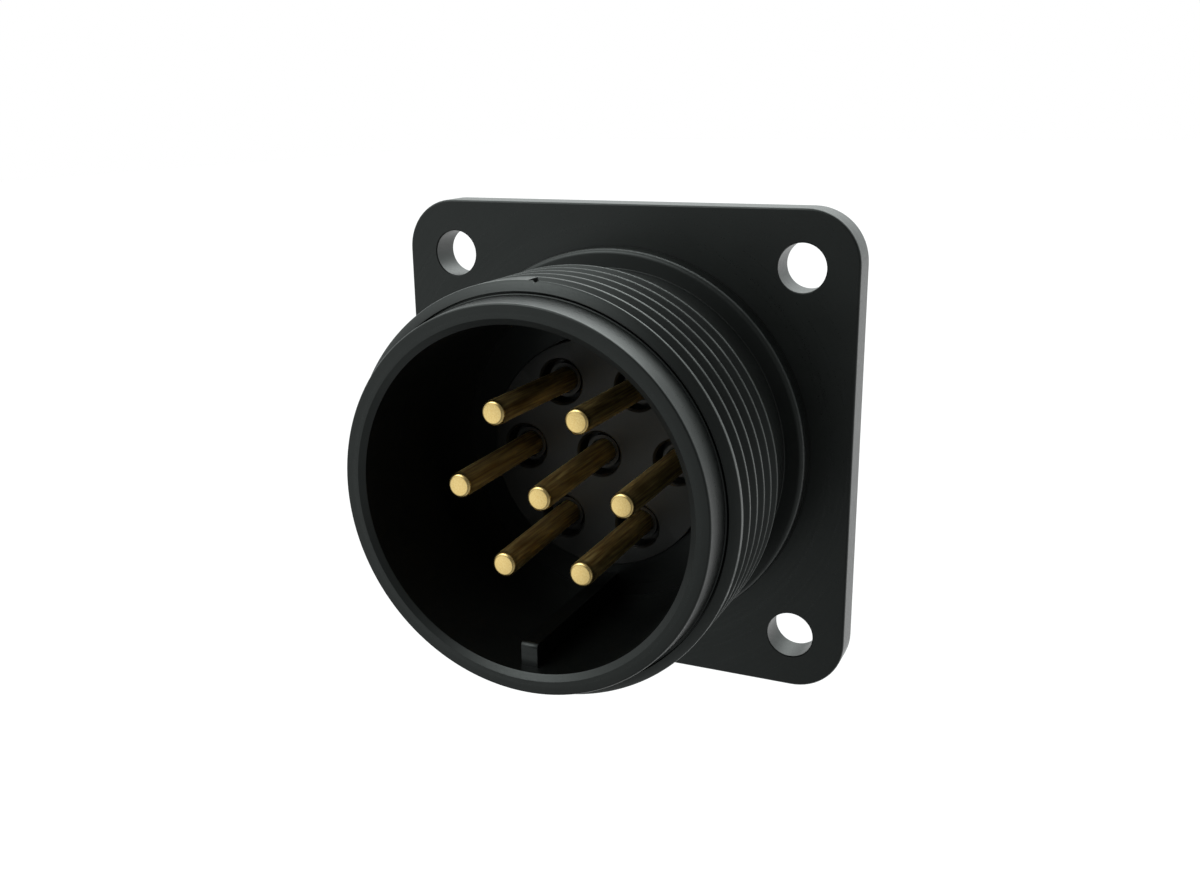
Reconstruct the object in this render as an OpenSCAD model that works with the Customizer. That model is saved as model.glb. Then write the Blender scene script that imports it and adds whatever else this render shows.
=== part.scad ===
// Square-flange threaded receptacle with seven male contacts, in millimetres.
// The origin is the centre of the flange's mounting face. The mouth faces -Y, and +Z is up.

/* [Flange] */
// Side of the square flange
flange_w = 35; // [33:0.5:44]
// Thickness of the flange
flange_t = 2.5; // [1.6:0.1:3.2]
// Radius of the flange's corners
flange_corner_r = 3.8; // [1:0.1:5]
// Bevel along the flange's edges
flange_bevel = 0.13; // [0.05:0.01:0.5]
// Distance between neighbouring mounting holes
hole_spacing = 27; // [26.4:0.1:28]
// Diameter of a mounting hole
hole_d = 3.4; // [2.4:0.1:3.8]
// Bevel at the mouths of a mounting hole
hole_bevel = 0.06; // [0.04:0.01:0.4]

/* [Front shell] */
// Distance from the mounting face to the mouth
mouth_y = 19; // [18:0.1:24]
// Diameter of the bore that takes the mating plug
bore_d = 23.1; // [21.5:0.1:23.6]
// Width of the bevel at the mouth of the bore
mouth_bevel_w = 0.42; // [0.1:0.02:0.5]
// Depth of that bevel along the axis
mouth_bevel_depth = 0.28; // [0.1:0.02:0.6]
// Diameter of the plain neck in front of the thread
neck_d = 26; // [25.2:0.1:26.2]
// Length of the neck
neck_len = 2.15; // [1.5:0.05:3]
// Bevel along the neck's front edge
neck_bevel = 0.18; // [0.03:0.01:0.3]
// Height of the step behind the neck
neck_step = 0.2; // [0.12:0.02:0.5]
// Radius of the fillet between the neck and the step
neck_fillet_r = 0.1; // [0.04:0.01:0.12]
// Diameter of the boss where the shell meets the flange
boss_d = 29; // [28.4:0.1:31]
// Height of the boss above the flange
boss_h = 1.5; // [0.8:0.1:2.2]
// Radius of the boss's front edge
boss_edge_r = 0.4; // [0.1:0.05:0.6]

/* [Thread] */
// Outer diameter of the thread
thread_d = 28; // [27.4:0.1:28.2]
// Distance from one turn of the thread to the next
thread_pitch = 1.5; // [1:0.05:1.6]
// Depth of the thread's groove
thread_depth = 0.86; // [0.4:0.02:0.9]
// Width of the flat crest between two turns of the groove
thread_crest_w = 0.2; // [0.1:0.02:0.4]
// Width of the flat at the bottom of the groove
thread_root_w = 0.2; // [0.1:0.02:0.4]
// Number of turns of the groove
thread_turns = 5.2; // [3:0.05:5.4]
// Length of the cone from the neck's step to the thread
thread_cone_len = 0.3; // [0.2:0.05:1]
// Distance from the cone to the middle of the groove, where the groove starts
thread_lead = 0.7; // [0.2:0.05:0.9]
// Length of the undercut between the boss and the thread
undercut_len = 2.6; // [1:0.1:2.8]
// Depth of the undercut below the thread's crests
undercut_depth = 0.9; // [0.5:0.02:1]

/* [Key and web] */
// Width of the key rib at the bottom of the bore
key_w = 1.25; // [0.8:0.05:2.5]
// Height of the key rib above the wall of the bore
key_h = 1.7; // [0.8:0.05:2]
// Distance from the mouth to the front of the key rib
key_setback = 1.05; // [0.5:0.05:4]
// Radius of the key rib's upper front edge
key_edge_r = 0.35; // [0.1:0.05:0.6]
// Distance from the mounting face to the front of the inner web
web_y = 4.5; // [3.8:0.1:6]
// Thickness of the web that the front insulator seats against
web_t = 1.6; // [1:0.1:3]

/* [Rear barrel] */
// Outer diameter of the barrel behind the flange
barrel_d = 23.6; // [23:0.1:25]
// Length of the barrel behind the flange
barrel_len = 5; // [4.4:0.1:8]
// Diameter of the bore that holds the insulators
barrel_bore_d = 20.6; // [19.6:0.1:20.8]
// Bevel along the barrel's rear edges
barrel_bevel = 0.3; // [0.1:0.05:0.5]

/* [Insulators] */
// Diameter of the front insulator's nose
nose_d = 17; // [16.4:0.1:18]
// How far the nose stands in front of the web
nose_proud = 1.8; // [0.8:0.1:3]
// Bevel along the nose's front edge
nose_bevel = 0.12; // [0.05:0.01:0.3]
// Thickness of the front insulator's rim, behind the web
front_rim_t = 2.8; // [2:0.1:3.2]
// Thickness of the rear insulator
rear_insulator_t = 2.6; // [1.8:0.1:3]
// Gap on the radius between an insulator and the shell
insulator_clearance = 0.05; // [0.02:0.01:0.1]

/* [Contacts] */
// Distance from the centre contact to each outer one
contact_pitch = 5.9; // [5:0.05:6.2]
// Diameter of a pin
pin_d = 1.58; // [1:0.02:1.8]
// Distance from the mounting face to the tips of the pins
pin_tip_y = 16.2; // [12:0.1:17]
// Radius of the edge round a pin's tip
pin_tip_r = 0.3; // [0.1:0.02:0.35]
// Diameter of the collar that is trapped between the insulators
collar_d = 3; // [2.7:0.05:3.2]
// Thickness of the collar
collar_t = 1.2; // [0.6:0.1:1.5]
// Diameter of a solder cup
cup_d = 2.4; // [2.2:0.05:2.6]
// How far a solder cup stands behind the rear insulator
cup_proud = 5.2; // [4.6:0.1:8]
// Diameter of the hollow in a solder cup
cup_bore_d = 1.7; // [1.2:0.05:1.8]
// Depth of the hollow in a solder cup
cup_bore_depth = 4.2; // [3.2:0.1:4.5]
// Length of the side that is cut away from a solder cup
cup_scoop_len = 2.4; // [1:0.1:3]
// Gap on the radius between a contact and an insulator
contact_clearance = 0.04; // [0.02:0.01:0.08]
// Diameter of the cavity round a pin
cavity_d = 3.2; // [2.6:0.05:3.6]
// Depth of the cavity round a pin
cavity_depth = 1.6; // [0.6:0.1:2]
// Bevel at the mouth of a cavity
cavity_bevel = 0.15; // [0.05:0.01:0.25]
// Diameter of the guide ring that stands in a cavity, round its pin
guide_d = 2.5; // [2.3:0.05:2.8]
// How far the guide ring lies behind the nose's face
guide_drop = 0.7; // [0.3:0.05:1]
// Diameter of the recess in the guide ring
guide_recess_d = 2; // [1.8:0.05:2.2]
// Depth of that recess
guide_recess_depth = 0.3; // [0.1:0.05:0.5]

/* [Retaining ring] */
// Thickness of the retaining ring
ring_t = 0.8; // [0.5:0.05:0.9]
// Width of the ring from its inner to its outer edge
ring_w = 1.3; // [0.9:0.05:1.8]
// How far the ring reaches into the wall of the barrel
ring_bite = 0.5; // [0.3:0.05:0.6]
// Angle of the ring's gap
ring_gap_deg = 36; // [20:1:70]
// Gap between the ring and its groove
ring_clearance = 0.05; // [0.02:0.01:0.1]

/* [Hidden] */

$fn = 96;
// How far a cutter runs past the face that it opens
over = 0.4;
outer_contacts = 6;
contacts = outer_contacts + 1;

black_metal = "#26282a";
black_resin = "#1c1d1e";
gold_plate = "#d8bd7c";
spring_steel = "#9a9c9e";

// Distances along the axis, counted forwards from the mounting face
boss_y = flange_t + boss_h;
thread_rear_y = boss_y + undercut_len;
neck_rear_y = mouth_y - neck_len;
thread_front_y = neck_rear_y - thread_cone_len;
key_front_y = mouth_y - key_setback;
nose_y = web_y + nose_proud;
guide_y = nose_y - guide_drop;
web_rear_y = web_y - web_t;
front_rim_rear_y = web_rear_y - front_rim_t;
rear_insulator_rear_y = front_rim_rear_y - rear_insulator_t;
ring_rear_y = rear_insulator_rear_y - ring_t;
collar_front_y = front_rim_rear_y + collar_t;
cup_end_y = rear_insulator_rear_y - cup_proud;

// Radii
bore_r = bore_d / 2;
neck_r = neck_d / 2;
boss_r = boss_d / 2;
thread_r = thread_d / 2;
thread_root_r = thread_r - thread_depth;
undercut_r = thread_r - undercut_depth;
nose_r = nose_d / 2;
web_r = nose_r + insulator_clearance;
barrel_r = barrel_d / 2;
barrel_bore_r = barrel_bore_d / 2;
rim_r = barrel_bore_r - insulator_clearance;
ring_r = barrel_bore_r + ring_bite;
pin_r = pin_d / 2;
cup_r = cup_d / 2;

// The thread's groove is swept along a right-hand helix that starts at the top
groove_start_deg = 90;
groove_steps_per_turn = 40;
groove_steps = round(thread_turns * groove_steps_per_turn);
groove_slope = (thread_pitch - thread_crest_w - thread_root_w) / (2 * thread_depth);
groove_outer_r = thread_r + thread_crest_w / (4 * groove_slope);
groove_outer_half_w = thread_root_w / 2 + groove_slope * (groove_outer_r - thread_root_r);

// Turns a piece that is modelled along +Z to face -Y, with its +Y side up
module along_axis() {
    rotate([90, 0, 0]) children();
}

// Puts a copy at each corner of a square pattern
module at_corners(spacing) {
    for (x = [-1, 1], y = [-1, 1]) {
        translate([x * spacing / 2, y * spacing / 2, 0]) children();
    }
}

// Puts a piece at contact i: the outer ones lie on a circle, the last one in the middle
module at_contact(i) {
    angle = i * 360 / outer_contacts;
    reach = i < outer_contacts ? contact_pitch : 0;
    translate([reach * cos(angle), reach * sin(angle), 0]) children();
}

module at_contacts() {
    for (i = [0 : contacts - 1]) at_contact(i) children();
}

// Hole cutter through a plate from z = low to z = high, widened by a bevel at both mouths
module bevelled_hole(d, bevel, low, high) {
    r = d / 2;
    rotate_extrude() polygon([
        [0, low - over],
        [r + bevel + over, low - over],
        [r, low + bevel],
        [r, high - bevel],
        [r + bevel + over, high + over],
        [0, high + over]
    ]);
}

// Plate section of the given width, with bevels along its four edges
module plate_section(w) {
    half = w / 2;
    polygon([
        [-half, flange_bevel],
        [-half + flange_bevel, 0],
        [half - flange_bevel, 0],
        [half, flange_bevel],
        [half, flange_t - flange_bevel],
        [half - flange_bevel, flange_t],
        [-half + flange_bevel, flange_t],
        [-half, flange_t - flange_bevel]
    ]);
}

// Square plate with round corners: two crossed bars and four round corner posts
module plate() {
    straight = flange_w - 2 * flange_corner_r;
    for (turn = [0, 90]) {
        rotate([90, 0, turn]) linear_extrude(straight, center = true) plate_section(flange_w);
    }
    at_corners(straight) rotate_extrude() intersection() {
        plate_section(2 * flange_corner_r);
        square([flange_corner_r, flange_t]);
    }
}

// The plate, opened inside the wall of the barrel, with its four mounting holes
module flange() {
    difference() {
        plate();
        translate([0, 0, -over]) cylinder(r = (barrel_bore_r + barrel_r) / 2, h = flange_t + 2 * over);
        at_corners(hole_spacing) bevelled_hole(hole_d, hole_bevel, 0, flange_t);
    }
}

module shell_body() {
    rotate_extrude() {
        polygon([
            [web_r, web_rear_y],
            [barrel_bore_r, web_rear_y],
            [barrel_bore_r, -barrel_len + barrel_bevel],
            [barrel_bore_r + barrel_bevel, -barrel_len],
            [barrel_r - barrel_bevel, -barrel_len],
            [barrel_r, -barrel_len + barrel_bevel],
            [barrel_r, flange_t / 2],
            [boss_r, flange_t / 2],
            [boss_r, boss_y - boss_edge_r],
            [boss_r - boss_edge_r, boss_y],
            [undercut_r, boss_y],
            [undercut_r, thread_rear_y],
            [thread_r, thread_rear_y],
            [thread_r, thread_front_y],
            [neck_r + neck_step, neck_rear_y],
            [neck_r, neck_rear_y],
            [neck_r, mouth_y - neck_bevel],
            [neck_r - neck_bevel, mouth_y],
            [bore_r + mouth_bevel_w, mouth_y],
            [bore_r, mouth_y - mouth_bevel_depth],
            [bore_r, web_y],
            [web_r, web_y]
        ]);
        translate([boss_r - boss_edge_r, boss_y - boss_edge_r]) circle(boss_edge_r);
        translate([neck_r, neck_rear_y]) difference() {
            square(neck_fillet_r);
            translate([neck_fillet_r, neck_fillet_r]) circle(neck_fillet_r);
        }
    }
}

// Rib along the bottom of the bore, rooted in the wall, with a round upper front edge
module key_rib() {
    top = key_h - bore_r;
    root = (bore_r + neck_r) / 2;
    translate([key_w / 2, 0, 0]) rotate([0, -90, 0]) linear_extrude(key_w) {
        polygon([
            [web_y - over, -root],
            [key_front_y, -root],
            [key_front_y, top - key_edge_r],
            [key_front_y - key_edge_r, top],
            [web_y - over, top]
        ]);
        translate([key_front_y - key_edge_r, top - key_edge_r]) circle(key_edge_r);
    }
}

// Corners of the groove's section at step i, the outer two half a crest's width past the edges
function groove_section(i) =
    let (
        turn = i / groove_steps_per_turn,
        angle = groove_start_deg - 360 * turn,
        middle = thread_front_y - thread_lead - thread_pitch * turn,
        corners = [
            [groove_outer_r, groove_outer_half_w],
            [groove_outer_r, -groove_outer_half_w],
            [thread_root_r, -thread_root_w / 2],
            [thread_root_r, thread_root_w / 2]
        ]
    )
    [for (c = corners) [c[0] * cos(angle), c[0] * sin(angle), middle + c[1]]];

module thread_groove() {
    sections = [for (i = [0 : groove_steps]) groove_section(i)];
    n = len(sections[0]);
    last = groove_steps * n;
    walls = [
        for (i = [0 : groove_steps - 1], j = [0 : n - 1])
        let (
            a = i * n + j,
            b = i * n + (j + 1) % n
        )
        each [[a, b, b + n], [a, b + n, a + n]]
    ];
    ends = [
        [for (j = [0 : n - 1]) n - 1 - j],
        [for (j = [0 : n - 1]) last + j]
    ];
    polyhedron([for (s = sections) each s], concat(walls, ends));
}

// Groove round the barrel's bore that holds the retaining ring
module ring_groove() {
    rotate_extrude() translate([rim_r, ring_rear_y]) {
        square([ring_r + ring_clearance - rim_r, ring_t + ring_clearance]);
    }
}

module shell() {
    color(black_metal) along_axis() difference() {
        union() {
            flange();
            shell_body();
            key_rib();
        }
        ring_groove();
        thread_groove();
    }
}

// Disc whose nose passes through the web, with a cavity and a guide ring round each pin
// and a seat for each collar
module front_insulator() {
    color(black_resin) along_axis() difference() {
        rotate_extrude() polygon([
            [0, front_rim_rear_y],
            [rim_r, front_rim_rear_y],
            [rim_r, web_rear_y],
            [nose_r, web_rear_y],
            [nose_r, nose_y - nose_bevel],
            [nose_r - nose_bevel, nose_y],
            [0, nose_y]
        ]);
        at_contacts() {
            rotate_extrude() polygon([
                [0, front_rim_rear_y - over],
                [collar_d / 2 + contact_clearance, front_rim_rear_y - over],
                [collar_d / 2 + contact_clearance, collar_front_y],
                [pin_r + contact_clearance, collar_front_y],
                [pin_r + contact_clearance, guide_y - guide_recess_depth],
                [guide_recess_d / 2, guide_y - guide_recess_depth],
                [guide_recess_d / 2, guide_y],
                [guide_d / 2, guide_y],
                [guide_d / 2, nose_y - cavity_depth],
                [cavity_d / 2, nose_y - cavity_depth],
                [cavity_d / 2, nose_y - cavity_bevel],
                [cavity_d / 2 + cavity_bevel + over, nose_y + over],
                [0, nose_y + over]
            ]);
        }
    }
}

// Disc that closes the collars' seats from behind
module rear_insulator() {
    color(black_resin) along_axis() difference() {
        translate([0, 0, rear_insulator_rear_y]) cylinder(r = rim_r, h = rear_insulator_t);
        at_contacts() translate([0, 0, rear_insulator_rear_y - over]) {
            cylinder(r = cup_r + contact_clearance, h = rear_insulator_t + 2 * over);
        }
    }
}

// Split ring, sprung into its groove behind the rear insulator, with its gap at the top
module retaining_ring() {
    color(spring_steel) along_axis() {
        rotate([0, 0, 90 + ring_gap_deg / 2]) rotate_extrude(angle = 360 - ring_gap_deg) {
            translate([ring_r - ring_w, ring_rear_y]) square([ring_w, ring_t]);
        }
    }
}

// Turned contact: pin in front, collar in the middle and solder cup behind
module contact_body() {
    rotate_extrude() {
        polygon([
            [0, cup_end_y],
            [cup_r, cup_end_y],
            [cup_r, front_rim_rear_y],
            [collar_d / 2, front_rim_rear_y],
            [collar_d / 2, collar_front_y],
            [pin_r, collar_front_y],
            [pin_r, pin_tip_y - pin_tip_r],
            [pin_r - pin_tip_r, pin_tip_y],
            [0, pin_tip_y]
        ]);
        translate([pin_r - pin_tip_r, pin_tip_y - pin_tip_r]) circle(pin_tip_r);
    }
}

// Slanted cut that opens the upper side of a solder cup
module cup_scoop() {
    rotate([0, -90, 0]) linear_extrude(cup_d, center = true) polygon([
        [cup_end_y - over, 0],
        [cup_end_y + cup_scoop_len - cup_r, 0],
        [cup_end_y + cup_scoop_len, cup_r],
        [cup_end_y + cup_scoop_len, cup_d],
        [cup_end_y - over, cup_d]
    ]);
}

module contact(i) {
    color(gold_plate) along_axis() at_contact(i) difference() {
        contact_body();
        translate([0, 0, cup_end_y - over]) cylinder(d = cup_bore_d, h = cup_bore_depth + over);
        cup_scoop();
    }
}

module contact_a() contact(2);
module contact_b() contact(1);
module contact_c() contact(0);
module contact_d() contact(5);
module contact_e() contact(4);
module contact_f() contact(3);
module contact_g() contact(6);

shell();
front_insulator();
rear_insulator();
retaining_ring();
contact_a();
contact_b();
contact_c();
contact_d();
contact_e();
contact_f();
contact_g();
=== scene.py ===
"""Looks of a seven-pin panel receptacle: black threaded shell, resin insulators, gold pins, steel ring."""
import math

import bmesh
import bpy
from mathutils import Matrix, Vector


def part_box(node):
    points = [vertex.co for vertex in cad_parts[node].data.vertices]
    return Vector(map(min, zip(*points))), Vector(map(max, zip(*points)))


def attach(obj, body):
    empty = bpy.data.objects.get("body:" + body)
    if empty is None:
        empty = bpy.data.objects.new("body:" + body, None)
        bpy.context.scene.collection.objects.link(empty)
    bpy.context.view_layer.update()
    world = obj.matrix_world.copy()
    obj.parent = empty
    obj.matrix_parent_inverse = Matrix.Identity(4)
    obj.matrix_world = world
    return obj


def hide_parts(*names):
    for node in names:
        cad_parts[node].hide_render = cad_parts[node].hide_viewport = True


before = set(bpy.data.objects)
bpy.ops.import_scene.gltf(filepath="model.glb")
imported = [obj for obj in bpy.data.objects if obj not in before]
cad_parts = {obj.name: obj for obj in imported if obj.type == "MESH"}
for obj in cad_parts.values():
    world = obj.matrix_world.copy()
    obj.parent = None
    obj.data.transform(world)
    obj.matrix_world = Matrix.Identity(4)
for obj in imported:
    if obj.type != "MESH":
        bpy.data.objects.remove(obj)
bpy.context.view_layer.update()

MM = 0.001
BODY = "root"


def corners_mm(node):
    """Lowest and highest corner of a CAD node, in millimetres."""
    low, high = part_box(node)
    return low / MM, high / MM


# Places along the axis, in millimetres, counted forwards from the flange's mounting face
shell_low, shell_high = corners_mm("shell")
nose_low, nose_high = corners_mm("front_insulator")
disc_low, disc_high = corners_mm("rear_insulator")
ring_low, ring_high = corners_mm("retaining_ring")
pin_low, pin_high = corners_mm("contact_g")
mouth = -shell_low.y
barrel_end = -shell_high.y
nose_face = -nose_low.y
nose_back = -nose_high.y
disc_front = -disc_low.y
disc_back = -disc_high.y
ring_front = -ring_low.y
ring_back = -ring_high.y
pin_tip = -pin_low.y
cup_end = -pin_high.y

# Sizes of the shell, in millimetres
FLANGE_T = 2.5
FLANGE_CORNER_R = 3.8
FLANGE_EDGE_R = 0.16
HOLE_SPACING = 27
HOLE_R = 1.7
HOLE_BEVEL = 0.07
BOSS_R = 14.5
BOSS_H = 1.5
BOSS_EDGE_R = 0.4
UNDERCUT_LEN = 4.4
UNDERCUT_R = 13.1
UNDERCUT_FILLET_R = 0.06
THREAD_R = 14
THREAD_DEPTH = 0.86
THREAD_PITCH = 1.5
THREAD_TURNS = 5.45
THREAD_NOTCH_LEFT = 0.28
THREAD_NOTCH_BOTTOM = 0.42
THREAD_NOTCH_RIGHT = 0.8
THREAD_NOTCH_DEPTH = 0.2
THREAD_FLAT_W = 0.2
THREAD_CREST_R = 0.07
THREAD_CREST_END_DEG = 108
THREAD_LEAD = 0.65
THREAD_SETBACK = 0.3
THREAD_CONE_LEN = 0.35
THREAD_FRONT_R = 0.1
THREAD_BACK_ROUND = 0.08
NECK_R = 13.08
NECK_FRONT_R = 12.92
NECK_LEN = 2.15
NECK_FILLET_R = 0.1
NECK_EDGE_R = 0.14
NECK_GAP_W = 0.11
NECK_GAP_DEPTH = 0.35
NECK_GAP_EDGE_R = 0.04
BORE_R = 11.55
MOUTH_BEVEL_W = 0.42
MOUTH_BEVEL_DEPTH = 0.28
KEY_W = 1.25
KEY_H = 1.7
KEY_SETBACK = 1.05
KEY_EDGE_R = 0.35
KEY_SIDE_R = 0.07
WEB_FACE = 4.5
WEB_T = 1.6
BARREL_R = 11.8
BARREL_BORE_R = 10.3
BARREL_BEVEL = 0.3
FIT_GAP = 0.05

# Sizes of the insulators and contacts, in millimetres
NOSE_R = 8.5
NOSE_EDGE_R = 0.12
CAVITY_R = 1.6
CAVITY_DEPTH = 1.6
CAVITY_BEVEL = 0.15
GUIDE_R = 1.25
GUIDE_DROP = 0.7
GUIDE_RECESS_R = 1
GUIDE_RECESS_DEPTH = 0.3
DISC_EDGE = 0.15
CONTACT_PITCH_R = 5.9
OUTER_CONTACTS = 6
PIN_R = 0.87
PIN_TIP_R = 0.24
# Each pin's lean: how far its tip stands to the right of and above its root
PIN_LEAN = {
    "a": (-0.15, 0.0),
    "b": (-0.03, 0.0),
    "c": (0.08, -0.11),
    "d": (0.09, -0.1),
    "e": (0.27, -0.27),
    "f": (0.02, -0.18),
    "g": (0.09, -0.36),
}
COLLAR_R = 1.5
COLLAR_T = 1.2
CUP_R = 1.2
CUP_BORE_R = 0.85
CUP_BORE_DEPTH = 4.2
CUP_SCOOP_LEN = 2.4
CUP_EDGE = 0.06
CONTACT_GAP = 0.04
RING_W = 1.3
RING_GAP_DEG = 36
RING_EDGE_R = 0.12

# Facets round a turned piece, and how far a cutter runs past the face that it opens
SHELL_STEPS = 240
INSULATOR_STEPS = 192
CONTACT_STEPS = 64
HOLE_STEPS = 72
OVER = 0.4
CREASE_DEG = 32

flange_half = shell_high.x
boss_face = FLANGE_T + BOSS_H
thread_back = boss_face + UNDERCUT_LEN
neck_back = mouth - NECK_LEN
thread_front = neck_back - THREAD_SETBACK
web_back = WEB_FACE - WEB_T
rim_r = BARREL_BORE_R - FIT_GAP
ring_r = ring_high.x
collar_front = nose_back + COLLAR_T


# Mesh helpers: everything is drawn in millimetres and scaled to metres when it is finished
def solid(name, points, faces):
    """New object from points and faces, with its faces turned outwards."""
    mesh = bpy.data.meshes.new(name)
    mesh.from_pydata(points, [], faces)
    work = bmesh.new()
    work.from_mesh(mesh)
    bmesh.ops.recalc_face_normals(work, faces=work.faces)
    work.to_mesh(mesh)
    work.free()
    obj = bpy.data.objects.new(name, mesh)
    bpy.context.scene.collection.objects.link(obj)
    return obj


def arc(middle, radius, start_deg, end_deg, count=6):
    """Points of an arc in the plane of radius and forward distance."""
    angles = [math.radians(start_deg + (end_deg - start_deg) * i / count) for i in range(count + 1)]
    return [(middle[0] + radius * math.cos(a), middle[1] + radius * math.sin(a)) for a in angles]


def turned(name, outline, steps):
    """Piece turned about the axis from a closed outline of radius and forward distance."""
    points = []
    rings = []
    for radius, forward in outline:
        start = len(points)
        if radius == 0:
            points.append((0, -forward, 0))
            rings.append([start] * steps)
            continue
        for k in range(steps):
            angle = 2 * math.pi * k / steps
            points.append((radius * math.cos(angle), -forward, radius * math.sin(angle)))
        rings.append(list(range(start, start + steps)))
    faces = []
    for here, after in zip(rings, rings[1:] + rings[:1]):
        for k in range(steps):
            n = (k + 1) % steps
            corners = list(dict.fromkeys((here[k], here[n], after[n], after[k])))
            if len(corners) > 2:
                faces.append(corners)
    return solid(name, points, faces)


def evaluated(obj):
    """Plain mesh of the object with its modifiers applied."""
    depsgraph = bpy.context.evaluated_depsgraph_get()
    return bpy.data.meshes.new_from_object(obj.evaluated_get(depsgraph))


def settle(obj):
    """Puts the modifiers' result into the object's own mesh."""
    mesh = evaluated(obj)
    obj.modifiers.clear()
    old = obj.data
    obj.data = mesh
    bpy.data.meshes.remove(old)


def softened(obj, width, segments=2):
    """Rounds the sharp edges of a helper piece."""
    bevel = obj.modifiers.new("edge", "BEVEL")
    bevel.width = width
    bevel.segments = segments
    bevel.limit_method = "ANGLE"
    bevel.angle_limit = math.radians(CREASE_DEG)
    settle(obj)
    return obj


def discard(*helpers):
    """Removes helper pieces that have done their work."""
    for obj in helpers:
        mesh = obj.data
        bpy.data.objects.remove(obj)
        bpy.data.meshes.remove(mesh)


def finished(obj, slot, *nodes):
    """Scales a piece to metres, shades it, and lets it stand for its CAD nodes."""
    mesh = obj.data
    mesh.transform(Matrix.Scale(MM, 4))
    mesh.shade_smooth()
    mesh.set_sharp_from_angle(angle=math.radians(CREASE_DEG))
    weighted = obj.modifiers.new("normals", "WEIGHTED_NORMAL")
    weighted.keep_sharp = True
    settle(obj)
    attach(obj, BODY)
    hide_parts(*nodes)
    return obj


# Node helpers, shared by the geometry trees and the materials
def add(tree, kind, inputs=None, **settings):
    """New node with its settings and inputs; an input is a value, a socket or a list of sockets."""
    node = tree.nodes.new(kind)
    for key, value in settings.items():
        setattr(node, key, value)
    for key, value in (inputs or {}).items():
        sockets = value if isinstance(value, list) else [value]
        for socket in sockets:
            if isinstance(socket, bpy.types.NodeSocket):
                tree.links.new(socket, node.inputs[key])
            else:
                node.inputs[key].default_value = socket
    return node


def new_tree(name, inputs):
    """Geometry tree with named inputs, and its group input node."""
    tree = bpy.data.node_groups.new(name, "GeometryNodeTree")
    kinds = {"Geometry": "NodeSocketGeometry", **inputs, "Material": "NodeSocketMaterial"}
    for label, kind in kinds.items():
        tree.interface.new_socket(label, in_out="INPUT", socket_type=kind)
    tree.interface.new_socket("Geometry", in_out="OUTPUT", socket_type="NodeSocketGeometry")
    return tree, tree.nodes.new("NodeGroupInput").outputs


def close_tree(tree, given, geometry):
    """Ends a tree with plain geometry that carries the material."""
    plain = add(tree, "GeometryNodeRealizeInstances", {"Geometry": geometry})
    coated = add(tree, "GeometryNodeSetMaterial", {
        "Geometry": plain.outputs[0],
        "Material": given["Material"],
    })
    add(tree, "NodeGroupOutput", {"Geometry": coated.outputs[0]})


def shape_with(obj, tree, values):
    """Runs a tree on the object with the given inputs and keeps the plain result."""
    modifier = obj.modifiers.new(tree.name, "NODES")
    modifier.node_group = tree
    for item in tree.interface.items_tree:
        if item.in_out == "INPUT" and item.name in values:
            modifier[item.identifier] = values[item.name]
    settle(obj)


def helper_mesh(tree, socket):
    """Mesh of a helper object given as an input of the tree."""
    return add(tree, "GeometryNodeObjectInfo", {"Object": socket}).outputs["Geometry"]


def boolean(tree, operation, base, others):
    """Joins the base with the others, or cuts the others out of it."""
    if operation == "UNION":
        inputs = {"Mesh 2": others + [base]}
    else:
        inputs = {"Mesh 2": others, "Mesh 1": base}
    node = add(tree, "GeometryNodeMeshBoolean", inputs, operation=operation, solver="MANIFOLD")
    return node.outputs["Mesh"]


FACE_THE_MOUTH = Matrix.Rotation(math.radians(90), 3, "X").to_euler()
AXIS_TO_REAR = Matrix(((0, 1, 0), (0, 0, 1), (1, 0, 0))).to_euler()


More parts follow.
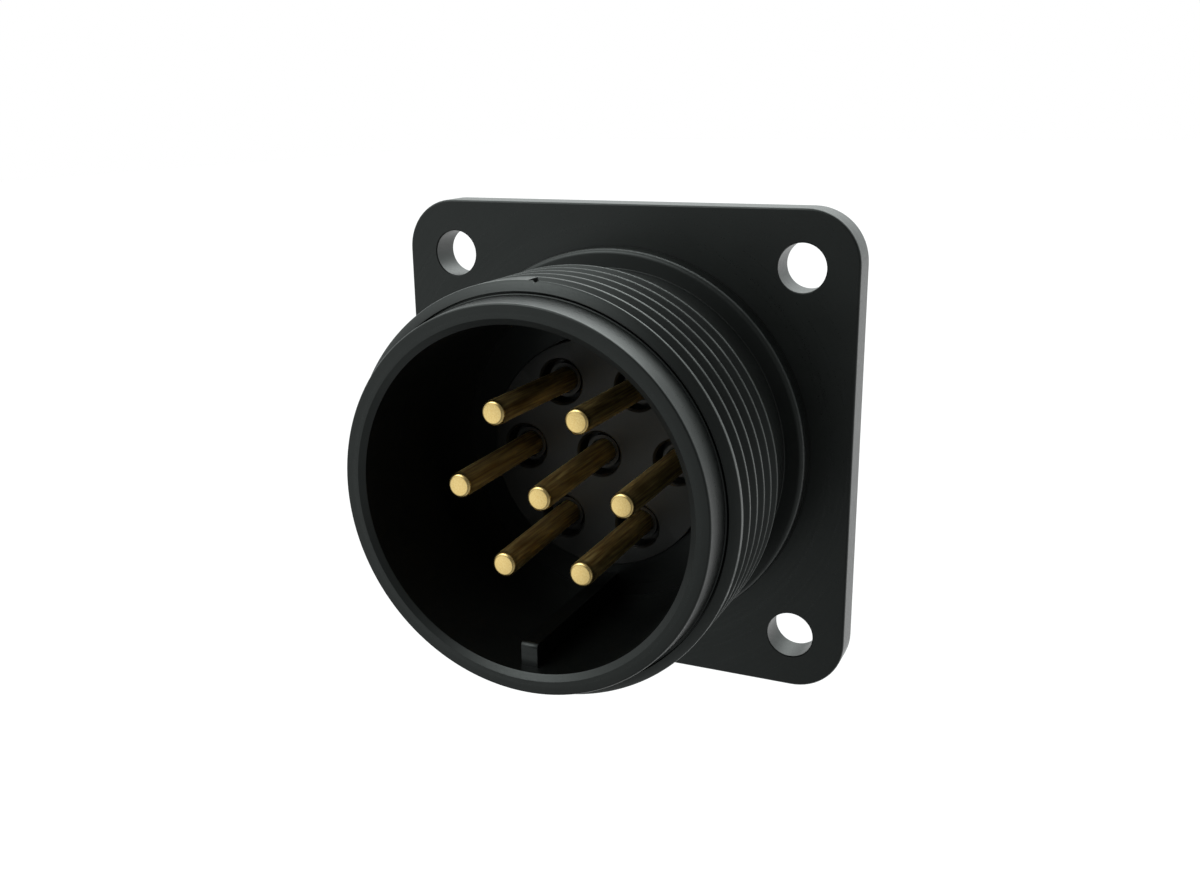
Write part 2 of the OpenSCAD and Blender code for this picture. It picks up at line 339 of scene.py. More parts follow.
def threaded_shell_tree():
    """Joins body, flange and key, drills the corner holes and cuts the helical thread groove."""
    tree, given = new_tree("threaded shell", {
        "Flange": "NodeSocketObject",
        "Key": "NodeSocketObject",
        "Hole Cutter": "NodeSocketObject",
        "Groove Outline": "NodeSocketObject",
        "Start Notch": "NodeSocketObject",
        "Hole Spacing": "NodeSocketFloat",
        "Thread Radius": "NodeSocketFloat",
        "Thread Length": "NodeSocketFloat",
        "Turns": "NodeSocketFloat",
        "Steps": "NodeSocketInt",
        "Groove Start": "NodeSocketVector",
    })
    blank = boolean(tree, "UNION", given["Geometry"], [
        helper_mesh(tree, given["Flange"]),
        helper_mesh(tree, given["Key"]),
    ])
    corners = add(tree, "GeometryNodeMeshGrid", {
        "Size X": given["Hole Spacing"],
        "Size Y": given["Hole Spacing"],
        "Vertices X": 2,
        "Vertices Y": 2,
    })
    upright = add(tree, "GeometryNodeTransform", {
        "Geometry": corners.outputs["Mesh"],
        "Rotation": FACE_THE_MOUTH,
    })
    drilled = add(tree, "GeometryNodeInstanceOnPoints", {
        "Points": upright.outputs[0],
        "Instance": helper_mesh(tree, given["Hole Cutter"]),
    })
    holes = add(tree, "GeometryNodeRealizeInstances", {"Geometry": drilled.outputs[0]})
    helix = add(tree, "GeometryNodeCurveSpiral", {
        "Resolution": given["Steps"],
        "Rotations": given["Turns"],
        "Start Radius": given["Thread Radius"],
        "End Radius": given["Thread Radius"],
        "Height": given["Thread Length"],
        "Reverse": True,
    })
    level = add(tree, "GeometryNodeSetCurveNormal", {"Curve": helix.outputs[0]}, mode="Z_UP")
    outline = add(tree, "GeometryNodeMeshToCurve", {"Mesh": helper_mesh(tree, given["Groove Outline"])})
    swept = add(tree, "GeometryNodeCurveToMesh", {
        "Curve": level.outputs[0],
        "Profile Curve": outline.outputs[0],
        "Fill Caps": True,
    })
    outward = add(tree, "GeometryNodeFlipFaces", {"Mesh": swept.outputs[0]})
    groove = add(tree, "GeometryNodeTransform", {
        "Geometry": outward.outputs[0],
        "Translation": given["Groove Start"],
        "Rotation": AXIS_TO_REAR,
    })
    grooved = boolean(tree, "DIFFERENCE", blank, [holes.outputs[0], groove.outputs[0]])
    cut = boolean(tree, "DIFFERENCE", grooved, [helper_mesh(tree, given["Start Notch"])])
    close_tree(tree, given, cut)
    return tree


def drilled_insulator_tree():
    """Cuts one cavity for the middle contact and a ring of cavities for the outer ones."""
    tree, given = new_tree("drilled insulator", {
        "Cavity Cutter": "NodeSocketObject",
        "Pitch Radius": "NodeSocketFloat",
        "Outer Contacts": "NodeSocketInt",
    })
    circle = add(tree, "GeometryNodeMeshCircle", {
        "Vertices": given["Outer Contacts"],
        "Radius": given["Pitch Radius"],
    })
    upright = add(tree, "GeometryNodeTransform", {"Geometry": circle.outputs[0], "Rotation": FACE_THE_MOUTH})
    middle = add(tree, "GeometryNodeMeshLine", {"Count": 1})
    places = add(tree, "GeometryNodeJoinGeometry", {"Geometry": [upright.outputs[0], middle.outputs[0]]})
    placed = add(tree, "GeometryNodeInstanceOnPoints", {
        "Points": places.outputs[0],
        "Instance": helper_mesh(tree, given["Cavity Cutter"]),
    })
    cavities = add(tree, "GeometryNodeRealizeInstances", {"Geometry": placed.outputs[0]})
    close_tree(tree, given, boolean(tree, "DIFFERENCE", given["Geometry"], [cavities.outputs[0]]))
    return tree


def contact_tree():
    """Opens the solder cup with a slanted scoop, leans the pin and puts the contact in its place."""
    tree, given = new_tree("contact", {
        "Scoop": "NodeSocketObject",
        "Lean": "NodeSocketVector",
        "Lean Start": "NodeSocketFloat",
        "Lean End": "NodeSocketFloat",
        "Place": "NodeSocketVector",
    })
    scooped = boolean(tree, "DIFFERENCE", given["Geometry"], [helper_mesh(tree, given["Scoop"])])
    position = add(tree, "GeometryNodeInputPosition").outputs[0]
    along = add(tree, "ShaderNodeSeparateXYZ", {0: position}).outputs["Y"]
    share = add(tree, "ShaderNodeMapRange", {
        "Value": along,
        "From Min": given["Lean Start"],
        "From Max": given["Lean End"],
        "To Min": 0.0,
        "To Max": 1.0,
    })
    shift = add(tree, "ShaderNodeVectorMath", {
        0: given["Lean"],
        "Scale": share.outputs[0],
    }, operation="SCALE")
    leaning = add(tree, "GeometryNodeSetPosition", {"Geometry": scooped, "Offset": shift.outputs[0]})
    placed = add(tree, "GeometryNodeTransform", {
        "Geometry": leaning.outputs[0],
        "Translation": given["Place"],
    })
    close_tree(tree, given, placed.outputs[0])
    return tree


def split_ring_tree():
    """Sweeps a round-edged strip along an arc that leaves a gap."""
    tree, given = new_tree("split ring", {
        "Middle Radius": "NodeSocketFloat",
        "Width": "NodeSocketFloat",
        "Thickness": "NodeSocketFloat",
        "Edge Radius": "NodeSocketFloat",
        "Start Angle": "NodeSocketFloat",
        "Sweep Angle": "NodeSocketFloat",
        "Steps": "NodeSocketInt",
        "Middle": "NodeSocketVector",
    })
    path = add(tree, "GeometryNodeCurveArc", {
        "Resolution": given["Steps"],
        "Radius": given["Middle Radius"],
        "Start Angle": given["Start Angle"],
        "Sweep Angle": given["Sweep Angle"],
    })
    level = add(tree, "GeometryNodeSetCurveNormal", {"Curve": path.outputs[0]}, mode="Z_UP")
    section = add(tree, "GeometryNodeCurvePrimitiveQuadrilateral", {
        "Width": given["Width"],
        "Height": given["Thickness"],
    })
    rounded = add(tree, "GeometryNodeFilletCurve", {
        "Curve": section.outputs[0],
        "Radius": given["Edge Radius"],
        "Count": 3,
    }, mode="POLY")
    swept = add(tree, "GeometryNodeCurveToMesh", {
        "Curve": level.outputs[0],
        "Profile Curve": rounded.outputs[0],
        "Fill Caps": True,
    })
    placed = add(tree, "GeometryNodeTransform", {
        "Geometry": swept.outputs[0],
        "Translation": given["Middle"],
        "Rotation": FACE_THE_MOUTH,
    })
    close_tree(tree, given, placed.outputs[0])
    return tree


# Tones of the finishes, and the sizes of their grain and marks in millimetres
COATING_DARK = (0.0058, 0.0064, 0.0060, 1)
COATING_LIGHT = (0.0088, 0.0096, 0.0091, 1)
# Painted shade: the coating is darker inside the bore, where little light reaches
COATING_PAINTED_BORE_SHADE = (0.0018, 0.0020, 0.0019, 1)
# Paler crest tone: wear, and a painted highlight along the thread's crest lines
COATING_ON_CRESTS_WORN_AND_HIGHLIT = (0.06, 0.063, 0.061, 1)
COATING_SHEEN = (0.95, 1.0, 0.98, 1)
COATING_CLOUD = 3.5
COATING_GRAIN = 0.07
COATING_MARKS = 0.16
COATING_ROUGHNESS = (0.28, 0.40)
COATING_MARK_ROUGHNESS = (-0.03, 0.05)
# How strongly the crests are painted paler, for wear and a painted highlight
CREST_WEAR_AND_HIGHLIGHT = 0.75
RESIN_DARK = (0.0065, 0.0067, 0.0063, 1)
RESIN_LIGHT = (0.0105, 0.0108, 0.0102, 1)
RESIN_CLOUD = 2.2
RESIN_GRAIN = 0.09
RESIN_ROUGHNESS = (0.42, 0.58)
RESIN_SHEEN = 0.62
GOLD_DEEP = (0.74, 0.46, 0.15, 1)
GOLD_PALE = (1.0, 0.78, 0.35, 1)
GOLD_STREAKS = 0.13
GOLD_ROUGHNESS = (0.34, 0.68)
TIP_MARKS = 0.52
TIP_POLISH = 0.42
STEEL_DARK = (0.36, 0.37, 0.38, 1)
STEEL_LIGHT = (0.5, 0.51, 0.52, 1)
STEEL_MARKS = 0.1
STEEL_ROUGHNESS = (0.25, 0.42)


# Finishes
def new_finish(name):
    """Material, its tree, its principled shader and Object coordinates in millimetres."""
    finish = bpy.data.materials.new(name)
    finish.use_nodes = True
    tree = finish.node_tree
    shader = tree.nodes["Principled BSDF"]
    place = add(tree, "ShaderNodeTexCoord").outputs["Object"]
    millimetres = add(tree, "ShaderNodeVectorMath", {0: place, "Scale": 1 / MM}, operation="SCALE")
    return finish, tree, shader, millimetres.outputs["Vector"]


def noise(tree, place, grain_mm, detail=3.0, stretch=(1, 1, 1)):
    """Noise with grains of about the given size; stretch draws it out along an axis."""
    scale = tuple(1 / (grain_mm * s) for s in stretch)
    spread = add(tree, "ShaderNodeVectorMath", {0: place, 1: scale}, operation="MULTIPLY")
    texture = add(tree, "ShaderNodeTexNoise", {"Vector": spread.outputs[0], "Scale": 1.0, "Detail": detail})
    return texture.outputs["Fac"]


def between(tree, factor, low, high, start=0.3, end=0.7):
    """Number that goes from low to high as the factor goes from start to end."""
    ramp = add(tree, "ShaderNodeMapRange", {
        "Value": factor, "From Min": start, "From Max": end, "To Min": low, "To Max": high,
    })
    return ramp.outputs["Result"]


def combined(tree, operation, first, second):
    """One number made from two; each is a number or a socket."""
    return add(tree, "ShaderNodeMath", {0: first, 1: second}, operation=operation).outputs[0]


def blend(tree, factor, first, second):
    """Colour that goes from the first tone to the second; each is a tone or a socket."""
    mix = add(tree, "ShaderNodeMix", {0: factor, 6: first, 7: second}, data_type="RGBA")
    return mix.outputs[2]


def bumped(tree, shader, height, depth_mm, strength):
    """Fine relief on the surface, from a pattern."""
    bump = add(tree, "ShaderNodeBump", {"Height": height, "Distance": depth_mm * MM, "Strength": strength})
    tree.links.new(bump.outputs["Normal"], shader.inputs["Normal"])


def black_coating():
    """Satin black coating on turned metal: fine grain, turned marks, crests paler from wear and a painted
    highlight, and painted shade darkening the bore.
    """
    finish, tree, shader, place = new_finish("black coating")
    axes = add(tree, "ShaderNodeSeparateXYZ", {0: place}).outputs
    level = add(tree, "ShaderNodeCombineXYZ", {"X": axes["X"], "Z": axes["Z"]}).outputs[0]
    radius = add(tree, "ShaderNodeVectorMath", {0: level}, operation="LENGTH").outputs["Value"]
    turned_place = add(tree, "ShaderNodeCombineXYZ", {"X": radius, "Y": axes["Y"]}).outputs[0]
    cloud = noise(tree, place, COATING_CLOUD, 2)
    grain = noise(tree, place, COATING_GRAIN, 2)
    marks = noise(tree, turned_place, COATING_MARKS, 3)
    # Crest mask for wear and a painted highlight, on the thread crests only, fading out behind the thread
    below = between(tree, radius, 0, 1, THREAD_R - 0.06, THREAD_R - 0.005)
    above = between(tree, radius, 1, 0, THREAD_R + 0.01, THREAD_R + 0.06)
    crest = combined(tree, "MULTIPLY", below, above)
    ahead = between(tree, axes["Y"], CREST_WEAR_AND_HIGHLIGHT, 0, 0.2 - thread_back, 0.4 - thread_back)
    worn_and_highlit = combined(tree, "MULTIPLY", crest, ahead)
    outside = blend(tree, between(tree, cloud, 0, 1), COATING_DARK, COATING_LIGHT)
    # Painted shade: everything inside the bore's radius is painted darker
    outside_painted_bore_shade = between(tree, radius, 0, 1, BORE_R - 0.1, BORE_R + 0.1)
    black = blend(tree, outside_painted_bore_shade, COATING_PAINTED_BORE_SHADE, outside)
    tree.links.new(blend(tree, worn_and_highlit, black, COATING_ON_CRESTS_WORN_AND_HIGHLIT), shader.inputs["Base Color"])
    fine = between(tree, grain, *COATING_ROUGHNESS)
    satin = combined(tree, "ADD", fine, between(tree, marks, *COATING_MARK_ROUGHNESS))
    tree.links.new(satin, shader.inputs["Roughness"])
    shader.inputs["Specular Tint"].default_value = COATING_SHEEN
    bumped(tree, shader, grain, 0.004, 0.3)
    return finish


def black_resin():
    """Moulded black resin, duller than the shell."""
    finish, tree, shader, place = new_finish("black resin")
    cloud = noise(tree, place, RESIN_CLOUD, 3)
    grain = noise(tree, place, RESIN_GRAIN, 3)
    base = blend(tree, between(tree, cloud, 0, 1), RESIN_DARK, RESIN_LIGHT)
    tree.links.new(base, shader.inputs["Base Color"])
    tree.links.new(between(tree, grain, *RESIN_ROUGHNESS), shader.inputs["Roughness"])
    shader.inputs["Specular IOR Level"].default_value = RESIN_SHEEN
    bumped(tree, shader, grain, 0.006, 0.4)
    return finish


def gold_plate():
    """Gold plate with lengthwise drawing marks and a smoother, brighter tip."""
    finish, tree, shader, place = new_finish("gold plate")
    along = add(tree, "ShaderNodeSeparateXYZ", {0: place}).outputs["Y"]
    shaft = between(tree, along, 0.3, 1, 0.05 - pin_tip, 0.6 - pin_tip)
    streaks = noise(tree, place, GOLD_STREAKS, 4, (1, 30, 1))
    mix = add(tree, "ShaderNodeMix", {0: shaft, 2: TIP_MARKS, 3: streaks}, data_type="FLOAT")
    marks = mix.outputs[0]
    base = blend(tree, between(tree, marks, 0, 1, 0.36, 0.64), GOLD_DEEP, GOLD_PALE)
    tree.links.new(base, shader.inputs["Base Color"])
    shader.inputs["Metallic"].default_value = 1
    drawn = between(tree, marks, *GOLD_ROUGHNESS)
    polish = between(tree, along, TIP_POLISH, 1, -pin_tip, 0.5 - pin_tip)
    tree.links.new(combined(tree, "MULTIPLY", drawn, polish), shader.inputs["Roughness"])
    bumped(tree, shader, marks, 0.004, 0.25)
    return finish


def spring_steel():
    """Bright spring steel with marks drawn out along the axis."""
    finish, tree, shader, place = new_finish("spring steel")
    marks = noise(tree, place, STEEL_MARKS, 3, (1, 8, 1))
    base = blend(tree, between(tree, marks, 0, 1), STEEL_DARK, STEEL_LIGHT)
    tree.links.new(base, shader.inputs["Base Color"])
    shader.inputs["Metallic"].default_value = 1
    tree.links.new(between(tree, marks, *STEEL_ROUGHNESS), shader.inputs["Roughness"])
    bumped(tree, shader, marks, 0.004, 0.3)
    return finish


COATING = black_coating()
RESIN = black_resin()
GOLD = gold_plate()
STEEL = spring_steel()


# Shell
def flange_plate():
    """Square plate with round corners and edges, open in the middle."""
    per_corner = 16
    per_side = 20
    square = flange_half - FLANGE_CORNER_R

    def loop(inset):
        radius = FLANGE_CORNER_R - inset
        points = []
        for quarter in range(4):
            turn = Matrix.Rotation(math.radians(90 * quarter), 2)
            for i in range(per_corner + 1):
                angle = math.radians(90 * i / per_corner)
                across = square + radius * math.cos(angle)
                upwards = square + radius * math.sin(angle)
                points.append(turn @ Vector((across, upwards)))
            end = turn @ Vector((square, square + radius))
            start = turn @ Vector((-square, square + radius))
            points += [end.lerp(start, i / per_side) for i in range(1, per_side)]
        return points

    edge = FLANGE_EDGE_R
    section = arc((edge, edge), edge, 270, 180, 4) + arc((edge, FLANGE_T - edge), edge, 180, 90, 4)
    opening = (BARREL_BORE_R + BARREL_R) / 2
    rings = [[(p.x, -forward, p.y) for p in loop(inset)] for inset, forward in section]
    for forward in (FLANGE_T, 0):
        rings.append([(opening * p.normalized().x, -forward, opening * p.normalized().y) for p in loop(0)])
    count = len(rings[0])
    points = [p for ring in rings for p in ring]
    faces = []
    for i in range(len(rings)):
        after = (i + 1) % len(rings)
        for k in range(count):
            n = (k + 1) % count
            faces.append((i * count + k, i * count + n, after * count + n, after * count + k))
    return solid("flange", points, faces)


def extruded(name, outline, width):
    """Piece of the given width across, from an outline of forward distance and height."""
    count = len(outline)
    points = [(side * width / 2, -forward, height) for side in (-1, 1) for forward, height in outline]
    faces = [(k, (k + 1) % count, count + (k + 1) % count, count + k) for k in range(count)]
    faces += [tuple(range(count)), tuple(range(count, 2 * count))]
    return solid(name, points, faces)


def key_rib():
    """Rib along the bottom of the bore, with a round upper front edge."""
    top = KEY_H - BORE_R
    root = -(BORE_R + NECK_R) / 2
    front = mouth - KEY_SETBACK
    back = WEB_FACE - OVER
    nose = arc((front - KEY_EDGE_R, top - KEY_EDGE_R), KEY_EDGE_R, 0, 90, 8)
    outline = [(back, root), (front, root)] + nose + [(back, top)]
    return softened(extruded("key", outline, KEY_W), KEY_SIDE_R)


def hole_cutter():
    """Drill for a corner hole, widened at both mouths."""
    wide = HOLE_R + HOLE_BEVEL + OVER
    return turned("hole cutter", [
        (0, -OVER),
        (wide, -OVER),
        (HOLE_R, HOLE_BEVEL),
        (HOLE_R, FLANGE_T - HOLE_BEVEL),
        (wide, FLANGE_T + OVER),
        (0, FLANGE_T + OVER),
    ], HOLE_STEPS)


def groove_outline():
    """Section of the thread groove that leaves round-edged crests, drawn about a point on the crest."""
    slope = (THREAD_PITCH - 2 * THREAD_FLAT_W) / (2 * THREAD_DEPTH)
    lean = math.degrees(math.atan(slope))
    half_root = THREAD_FLAT_W / 2
    half_top = (THREAD_PITCH - THREAD_FLAT_W) / 2
    reach = THREAD_CREST_R * math.tan(math.radians(90 - lean) / 2)
    round_middle = (half_top + reach, -THREAD_CREST_R)
    crest = arc(round_middle, THREAD_CREST_R, 180 - lean, THREAD_CREST_END_DEG, 4)
    half = [(half_root, -THREAD_DEPTH)] + crest + [(crest[-1][0], OVER)]
    points = [(out, along, 0) for along, out in half]
    points += [(out, -along, 0) for along, out in reversed(half)]
    mesh = bpy.data.meshes.new("groove outline")
    count = len(points)
    mesh.from_pydata(points, [(i, (i + 1) % count) for i in range(count)], [])
    obj = bpy.data.objects.new("groove outline", mesh)
    bpy.context.scene.collection.objects.link(obj)
    return obj


def start_notch():
    """Wedge that opens the thread's first groove towards the mouth, drawn at the top of the shell."""
    bottom = Vector((THREAD_NOTCH_BOTTOM, THREAD_R - THREAD_NOTCH_DEPTH))
    reach = 1 + OVER / THREAD_NOTCH_DEPTH
    left = bottom.lerp(Vector((THREAD_NOTCH_LEFT, THREAD_R)), reach)
    right = bottom.lerp(Vector((THREAD_NOTCH_RIGHT, THREAD_R)), reach)
    groove_middle = thread_front - THREAD_LEAD
    ends = (groove_middle, thread_front + THREAD_CONE_LEN)
    points = [(p.x, -forward, p.y) for forward in ends for p in (left, bottom, right)]
    return solid("start notch", points, [(0, 1, 2), (3, 4, 5), (0, 1, 4, 3), (1, 2, 5, 4), (2, 0, 3, 5)])


def shell_outline():
    """Closed outline of the turned body, from the web round the barrel, thread and mouth."""
    boss_round = (BOSS_R - BOSS_EDGE_R, boss_face - BOSS_EDGE_R)
    back_round = (THREAD_R - THREAD_BACK_ROUND, thread_back + THREAD_BACK_ROUND)
    neck_round = (NECK_FRONT_R - NECK_EDGE_R, mouth - NECK_EDGE_R)
    fillet = (NECK_R + NECK_FILLET_R, neck_back + NECK_FILLET_R)
    gap_floor = neck_back - NECK_GAP_DEPTH
    gap_in = NECK_R + NECK_FILLET_R
    gap_out = gap_in + NECK_GAP_W
    cone_front = thread_front + THREAD_CONE_LEN
    undercut_fillet = (UNDERCUT_R + UNDERCUT_FILLET_R, boss_face + UNDERCUT_FILLET_R)
    cone_lean = math.atan2(THREAD_R - gap_out, THREAD_CONE_LEN)
    neck_lean = math.degrees(math.atan2(NECK_R - NECK_FRONT_R, NECK_LEN))
    gap_round = (gap_out + NECK_GAP_EDGE_R, cone_front - NECK_GAP_EDGE_R / math.sin(cone_lean))
    front_round = (THREAD_R - THREAD_FRONT_R, thread_front - THREAD_FRONT_R * math.tan(cone_lean / 2))
    return [
        (NOSE_R + FIT_GAP, web_back),
        (BARREL_BORE_R, web_back),
        (BARREL_BORE_R, ring_front + FIT_GAP),
        (ring_r + FIT_GAP, ring_front + FIT_GAP),
        (ring_r + FIT_GAP, ring_back),
        (BARREL_BORE_R, ring_back),
        (BARREL_BORE_R, barrel_end + BARREL_BEVEL),
        (BARREL_BORE_R + BARREL_BEVEL, barrel_end),
        (BARREL_R - BARREL_BEVEL, barrel_end),
        (BARREL_R, barrel_end + BARREL_BEVEL),
        (BARREL_R, FLANGE_T / 2),
        (BOSS_R, FLANGE_T / 2),
        *arc(boss_round, BOSS_EDGE_R, 0, 90, 8),
        *arc(undercut_fillet, UNDERCUT_FILLET_R, 270, 180, 5),
        (UNDERCUT_R, thread_back),
        *arc(back_round, THREAD_BACK_ROUND, -90, 0, 6),
        *arc(front_round, THREAD_FRONT_R, 0, math.degrees(cone_lean), 5),
        *arc(gap_round, NECK_GAP_EDGE_R, math.degrees(cone_lean), 180, 4),
        (gap_out, gap_floor),
        (gap_in, gap_floor),
        *arc(fillet, NECK_FILLET_R, 270, 180, 4),
        *arc(neck_round, NECK_EDGE_R, neck_lean, 90, 6),
        (BORE_R + MOUTH_BEVEL_W, mouth),
        (BORE_R, mouth - MOUTH_BEVEL_DEPTH),
        (BORE_R, WEB_FACE),
        (NOSE_R + FIT_GAP, WEB_FACE),
    ]


def build_shell():
    """Shell with its flange, key rib, corner holes and thread."""
    shell = turned("threaded_shell", shell_outline(), SHELL_STEPS)
    helpers = [flange_plate(), key_rib(), hole_cutter(), groove_outline(), start_notch()]
    shape_with(shell, threaded_shell_tree(), {
        "Flange": helpers[0],
        "Key": helpers[1],
        "Hole Cutter": helpers[2],
        "Groove Outline": helpers[3],
        "Start Notch": helpers[4],
        "Hole Spacing": float(HOLE_SPACING),
        "Thread Radius": float(THREAD_R),
        "Thread Length": THREAD_PITCH * THREAD_TURNS,
        "Turns": THREAD_TURNS,
        "Steps": SHELL_STEPS,
        "Groove Start": (0.0, THREAD_LEAD - thread_front, 0.0),
        "Material": COATING,
    })
    discard(*helpers)
    finished(shell, "black_metal", "shell")


# Insulators
def build_front_insulator():
    """Disc with a raised nose; each pin stands in a cavity with a guide ring round it."""
    nose_round = (NOSE_R - NOSE_EDGE_R, nose_face - NOSE_EDGE_R)
    insulator = turned("nose_insulator", [
        (0, nose_back),
        (rim_r, nose_back),
        (rim_r, web_back),
        (NOSE_R, web_back),
        *arc(nose_round, NOSE_EDGE_R, 0, 90, 4),
        (0, nose_face),
    ], INSULATOR_STEPS)
    guide_face = nose_face - GUIDE_DROP
    guide_floor = guide_face - GUIDE_RECESS_DEPTH
    cavity_floor = nose_face - CAVITY_DEPTH
    cutter = turned("cavity cutter", [
        (0, nose_back - OVER),
        (COLLAR_R + CONTACT_GAP, nose_back - OVER),
        (COLLAR_R + CONTACT_GAP, collar_front),
        (PIN_R + CONTACT_GAP, collar_front),
        (PIN_R + CONTACT_GAP, guide_floor),
        (GUIDE_RECESS_R, guide_floor),
        (GUIDE_RECESS_R, guide_face),
        (GUIDE_R, guide_face),
        (GUIDE_R, cavity_floor),
        (CAVITY_R, cavity_floor),
        (CAVITY_R, nose_face - CAVITY_BEVEL),
        (CAVITY_R + CAVITY_BEVEL + OVER, nose_face + OVER),
        (0, nose_face + OVER),
    ], HOLE_STEPS)
    shape_with(insulator, drilled_insulator_tree(), {
        "Cavity Cutter": cutter,
        "Pitch Radius": CONTACT_PITCH_R,
        "Outer Contacts": OUTER_CONTACTS,
        "Material": RESIN,
    })
    discard(cutter)
    finished(insulator, "black_resin", "front_insulator")


def build_rear_insulator():
    """Disc that closes the collars' seats, with a bevelled edge and a hole for each solder cup."""
    disc = turned("rear_disc", [
        (0, disc_back),
        (rim_r - DISC_EDGE, disc_back),
        (rim_r, disc_back + DISC_EDGE),
        (rim_r, disc_front),
        (0, disc_front),
    ], INSULATOR_STEPS)
    hole = CUP_R + CONTACT_GAP
    cutter = turned("cup hole cutter", [
        (0, disc_back - OVER),
        (hole + DISC_EDGE + OVER, disc_back - OVER),
        (hole, disc_back + DISC_EDGE),
        (hole, disc_front + OVER),
        (0, disc_front + OVER),
    ], HOLE_STEPS)
    shape_with(disc, drilled_insulator_tree(), {
        "Cavity Cutter": cutter,
        "Pitch Radius": CONTACT_PITCH_R,
        "Outer Contacts": OUTER_CONTACTS,
        "Material": RESIN,
    })
    discard(cutter)
    finished(disc, "black_resin", "rear_insulator")


# Contacts and ring
def contact_outline():
    """Pin with a round tip, collar and hollow solder cup."""
    tip_round = (PIN_R - PIN_TIP_R, pin_tip - PIN_TIP_R)
    bore_floor = cup_end + CUP_BORE_DEPTH
    return [
        (0, bore_floor + CUP_BORE_R / 2),
        (CUP_BORE_R, bore_floor),
        (CUP_BORE_R, cup_end + CUP_EDGE),
        (CUP_BORE_R + CUP_EDGE, cup_end),
        (CUP_R - CUP_EDGE, cup_end),
        (CUP_R, cup_end + CUP_EDGE),
        (CUP_R, nose_back),
        (COLLAR_R, nose_back),
        (COLLAR_R, collar_front),
        (PIN_R, collar_front),
        (PIN_R, nose_face),
        *arc(tip_round, PIN_TIP_R, 0, 90, 8),
        (0, pin_tip),
    ]


def build_contacts():
    """Seven contacts, each at its CAD node's place."""
    scoop_end = cup_end + CUP_SCOOP_LEN
    scoop = extruded("scoop", [
        (cup_end - OVER, 0),
        (scoop_end - CUP_R, 0),
        *[(p, CUP_R + h) for p, h in arc((scoop_end - CUP_R, 0), CUP_R, -90, 0, 6)],
        (scoop_end, 2 * CUP_R),
        (cup_end - OVER, 2 * CUP_R),
    ], 3 * CUP_R)
    tree = contact_tree()
    for letter in PIN_LEAN:
        node = "contact_" + letter
        low, high = corners_mm(node)
        middle = (low + high) / 2
        contact = turned("pin_" + letter, contact_outline(), CONTACT_STEPS)
        right, up = PIN_LEAN[letter]
        shape_with(contact, tree, {
            "Scoop": scoop,
            "Lean": (right, 0.0, up),
            "Lean Start": -nose_face,
            "Lean End": -pin_tip,
            "Place": (middle.x, 0.0, middle.z),
            "Material": GOLD,
        })
        finished(contact, "gold_plate", node)
    discard(scoop)


def build_retaining_ring():
    """Split ring behind the rear insulator, with its gap at the top."""
    ring = solid("split_ring", [], [])
    gap = math.radians(RING_GAP_DEG)
    shape_with(ring, split_ring_tree(), {
        "Middle Radius": ring_r - RING_W / 2,
        "Width": RING_W,
        "Thickness": ring_front - ring_back,
        "Edge Radius": RING_EDGE_R,
        "Start Angle": math.pi / 2 + gap / 2,
        "Sweep Angle": 2 * math.pi - gap,
        "Steps": INSULATOR_STEPS,
        "Middle": (0.0, -(ring_front + ring_back) / 2, 0.0),
        "Material": STEEL,
    })
    finished(ring, "spring_steel", "retaining_ring")


build_shell()
build_front_insulator()
build_rear_insulator()
build_contacts()
build_retaining_ring()


# Floor, surroundings and camera, in metres
FLOOR_Z = -0.08
FLOOR_FRONT_Y = -0.02
FLOOR_SIZE = 3.0
FLOOR_TONE = (0.86, 0.86, 0.86, 1)
FLOOR_WHITE_SHARE = 0.8
WHITE = (1, 1, 1, 1)
ROOM_TONE = (0.95, 1.0, 0.99, 1)
ROOM_LEVEL = 0.13
# Where each zone of the surroundings starts and ends, as shares of a direction's own axis
BEHIND_ZONE = (-0.25, 0.25)
OVERHEAD_ZONE = (0.3, 0.8)
RIGHT_ZONE = (-0.35, 0.15)
# Soft glows: degrees to the right of the mouth's axis, degrees up, tightness, strength
GLOWS = (
    (-32, 38, 25, 4.0),
    (-30, 8, 22, 0.45),
    (-32, -20, 22, 1.05),
    (-75, 10, 15, 0.8),
    (-60, 40, 15, 1.0),
    (48, -24, 12, 0.3),
    (15, -68, 14, 0.45),
    (180, 60, 9, 3.2),
)
CAMERA_PLACE_MM = Vector((34.338, -82.077, 24.544))
CAMERA_TURN_DEG = (73.8438, 0.7242, 24.1204)
CAMERA_LENS = 35.981
CAMERA_SENSOR = 36
CAMERA_NEAR = 0.001


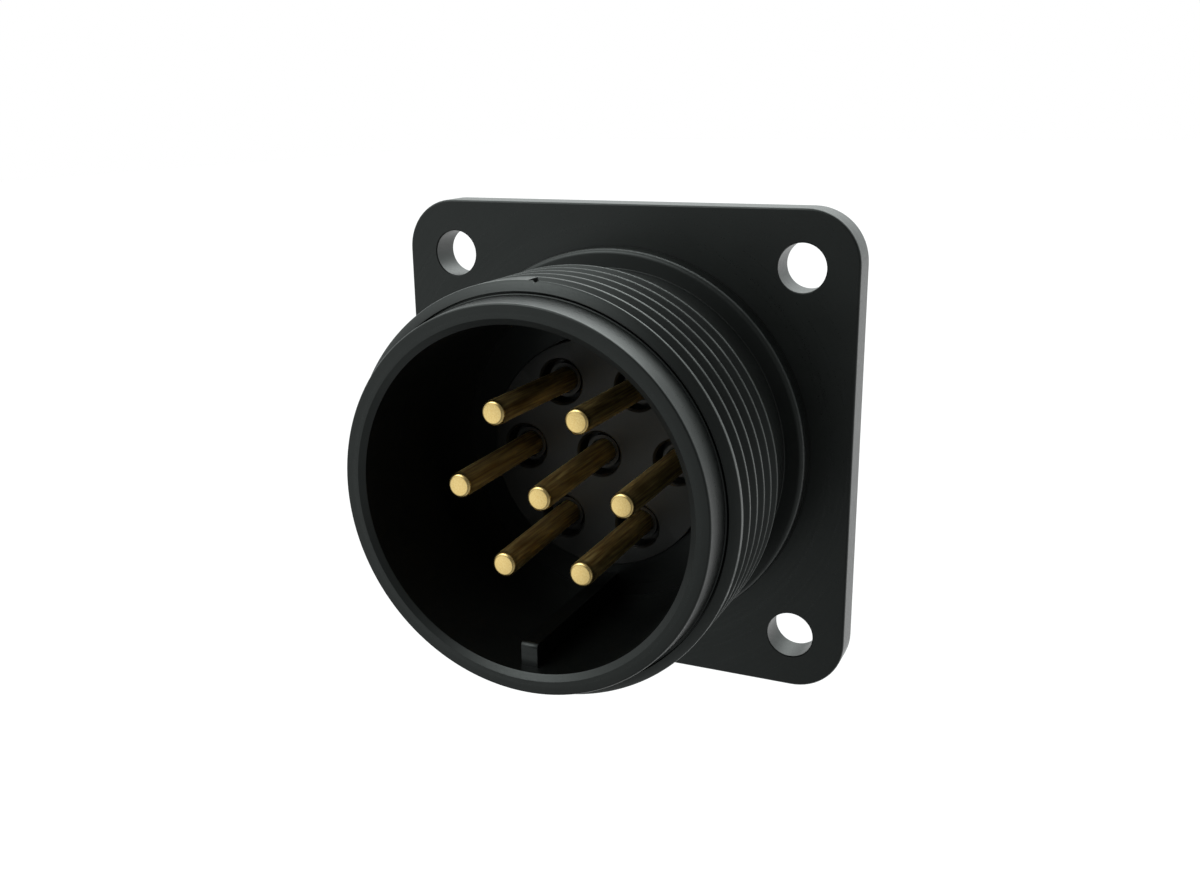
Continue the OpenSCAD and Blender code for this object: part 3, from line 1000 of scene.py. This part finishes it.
def pale_floor():
    """Floor under and behind the part: white to the eye, and darker where the part shades it."""
    half = FLOOR_SIZE / 2
    corners = [(-half, FLOOR_FRONT_Y), (half, FLOOR_FRONT_Y), (half, FLOOR_SIZE), (-half, FLOOR_SIZE)]
    floor = bpy.data.objects.new("floor", bpy.data.meshes.new("floor"))
    floor.data.from_pydata([(x, y, FLOOR_Z) for x, y in corners], [], [(0, 1, 2, 3)])
    bpy.context.scene.collection.objects.link(floor)
    finish = bpy.data.materials.new("pale floor")
    finish.use_nodes = True
    tree = finish.node_tree
    tree.nodes.clear()
    path = add(tree, "ShaderNodeLightPath").outputs
    lit = add(tree, "ShaderNodeBsdfDiffuse", {"Color": FLOOR_TONE})
    glow = add(tree, "ShaderNodeEmission", {"Color": WHITE, "Strength": 1})
    seen = combined(tree, "MAXIMUM", path["Is Camera Ray"], path["Is Glossy Ray"])
    shown = combined(tree, "MAXIMUM", seen, path["Is Transmission Ray"])
    share = combined(tree, "MULTIPLY", shown, FLOOR_WHITE_SHARE)
    mix = add(tree, "ShaderNodeMixShader", {0: share, 1: lit.outputs[0], 2: glow.outputs[0]})
    add(tree, "ShaderNodeOutputMaterial", {"Surface": mix.outputs[0]})
    floor.data.materials.append(finish)


def rising(tree, value, zone):
    """0 before the zone, 1 after it, and a soft step between."""
    start, end = zone
    ramp = {"Value": value, "From Min": start, "From Max": end, "To Min": 0.0, "To Max": 1.0}
    return add(tree, "ShaderNodeMapRange", ramp, interpolation_type="SMOOTHSTEP").outputs["Result"]


def soft_glow(tree, towards, right, up, tightness, strength):
    """Light that fades with the angle from its middle."""
    across = math.cos(math.radians(up))
    middle = (
        math.sin(math.radians(right)) * across,
        -math.cos(math.radians(right)) * across,
        math.sin(math.radians(up)),
    )
    product = add(tree, "ShaderNodeVectorMath", {0: towards, 1: middle}, operation="DOT_PRODUCT")
    away = combined(tree, "SUBTRACT", product.outputs["Value"], 1.0)
    fall = combined(tree, "MULTIPLY", away, tightness)
    fading = add(tree, "ShaderNodeMath", {0: fall}, operation="EXPONENT").outputs[0]
    return combined(tree, "MULTIPLY", fading, strength)


def surroundings():
    """White backdrop, and a dimmer room in front of the part for what it reflects."""
    world = bpy.data.worlds.new("studio")
    world.use_nodes = True
    bpy.context.scene.world = world
    tree = world.node_tree
    tree.nodes.clear()
    path = add(tree, "ShaderNodeLightPath").outputs
    towards = add(tree, "ShaderNodeTexCoord").outputs["Generated"]
    axes = add(tree, "ShaderNodeSeparateXYZ", {0: towards}).outputs
    behind = rising(tree, axes["Y"], BEHIND_ZONE)
    overhead = combined(tree, "MULTIPLY", behind, rising(tree, axes["Z"], OVERHEAD_ZONE))
    in_front = combined(tree, "SUBTRACT", 1.0, behind)
    ahead_right = combined(tree, "MULTIPLY", in_front, rising(tree, axes["X"], RIGHT_ZONE))
    level = combined(tree, "ADD", overhead, combined(tree, "MULTIPLY", ahead_right, ROOM_LEVEL))
    for glow in GLOWS:
        level = combined(tree, "ADD", level, soft_glow(tree, towards, *glow))
    # The white backdrop stands behind the part for every ray, so gloss and glass show it too
    lit = combined(tree, "ADD", level, behind)
    strength = add(tree, "ShaderNodeMix", {0: path["Is Camera Ray"], 2: lit, 3: 1.0}, data_type="FLOAT")
    tone = blend(tree, path["Is Camera Ray"], ROOM_TONE, WHITE)
    backdrop_shader = add(tree, "ShaderNodeBackground", {"Color": tone, "Strength": strength.outputs[0]})
    add(tree, "ShaderNodeOutputWorld", {"Surface": backdrop_shader.outputs[0]})


def photo_camera():
    """Camera at the photograph's place and angle."""
    data = bpy.data.cameras.new("camera")
    data.sensor_width = CAMERA_SENSOR
    data.lens = CAMERA_LENS
    data.clip_start = CAMERA_NEAR
    camera = bpy.data.objects.new("camera", data)
    camera.location = CAMERA_PLACE_MM * MM
    camera.rotation_euler = [math.radians(a) for a in CAMERA_TURN_DEG]
    bpy.context.scene.collection.objects.link(camera)
    bpy.context.scene.camera = camera


pale_floor()
surroundings()
photo_camera()
bpy.context.scene.view_settings.view_transform = "Standard"
